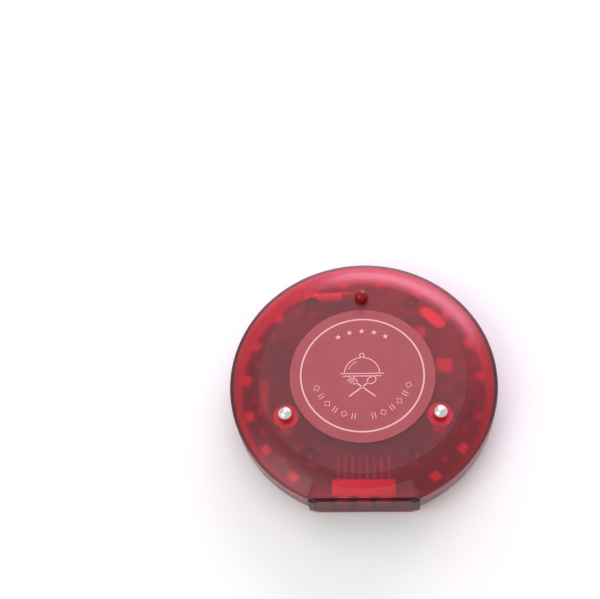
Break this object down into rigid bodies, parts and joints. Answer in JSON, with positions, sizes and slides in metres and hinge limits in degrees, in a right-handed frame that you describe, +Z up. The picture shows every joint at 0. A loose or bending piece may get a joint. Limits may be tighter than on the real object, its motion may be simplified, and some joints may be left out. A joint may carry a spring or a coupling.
{
  "type": "guest pager",
  "caption": "Round translucent red guest pager with a three-digit edge display, charging studs on the face and matching sockets in the base so that it stacks.",
  "frame": {"origin": "middle of the flat base, on the surface that the pager stands on", "axes": "+Z up out of the face with the label; the display looks along -Y; +X is to the right of someone who reads the display"},
  "size_m": [0.098, 0.0959, 0.0225],
  "materials": {
    "red_shell": "translucent, satin moulded",
    "smoked_window": "translucent, gloss",
    "label_paper": "matt printed film",
    "plain_label": "matt film",
    "board_mask": "solder mask over fibreglass",
    "display_case": "moulded",
    "led_package": "moulded",
    "red_lens": "clear tinted epoxy",
    "nickel": "nickel plated, polished",
    "spring_steel": "drawn wire",
    "steel": "satin",
    "tungsten": "sintered",
    "copper": "enamelled copper wire",
    "tin": "tinned",
    "black_plastic": "moulded",
    "white_plastic": "moulded nylon",
    "rubber_pad": "foam",
    "cell_foil": "laminate pouch",
    "wire_red": "insulation",
    "wire_black": "insulation"
  },
  "bodies": {
    "housing": {"top_shell": "red_shell", "bottom_shell": "red_shell", "display_window": "smoked_window", "face_label": "label_paper", "rating_plate": "plain_label", "main_board": "board_mask", "display_module": "display_case", "display_pins": "tin", "flash_leds": "led_package", "indicator_led": "red_lens", "indicator_leads": "tin", "contact_barrel_left": "nickel", "contact_barrel_right": "nickel", "contact_socket_left": "nickel", "contact_socket_right": "nickel", "contact_spring_left": "spring_steel", "contact_spring_right": "spring_steel", "motor_can": "steel", "motor_end_cap": "white_plastic", "motor_clip": "rubber_pad", "battery_cell": "cell_foil", "battery_pad": "rubber_pad", "battery_plug": "white_plastic", "battery_wire_red": "wire_red", "battery_wire_black": "wire_black", "microcontroller": "black_plastic", "charger_chip": "black_plastic", "radio_board": "board_mask", "radio_header": "black_plastic", "radio_parts": "black_plastic", "antenna_coil": "copper", "crystal": "nickel", "buzzer": "black_plastic", "small_parts": "tin", "switch_body": "black_plastic", "shell_screws": "steel"},
    "rotor": {"motor_shaft": "steel", "motor_weight": "tungsten"},
    "left_contact": {"contact_pin_left": "nickel"},
    "right_contact": {"contact_pin_right": "nickel"},
    "power_knob": {"switch_knob": "white_plastic"}
  },
  "joints": [
    {"name": "motor_spin", "type": "hinge", "parent": "housing", "child": "rotor", "pos_m": [-0.0075, 0.0362, 0.0102], "axis": [1, 0, 0], "continuous": true},
    {"name": "left_contact_press", "type": "slide", "parent": "housing", "child": "left_contact", "axis": [0, 0, 1], "range_m": [-0.001, 0], "stiffness_N_per_m": 300, "springref_m": 0.002, "deforming": ["contact_spring_left"]},
    {"name": "right_contact_press", "type": "slide", "parent": "housing", "child": "right_contact", "axis": [0, 0, 1], "range_m": [-0.001, 0], "stiffness_N_per_m": 300, "springref_m": 0.002, "deforming": ["contact_spring_right"]},
    {"name": "power_slide", "type": "slide", "parent": "housing", "child": "power_knob", "axis": [1, 0, 0], "range_m": [0, 0.002]}
  ]
}
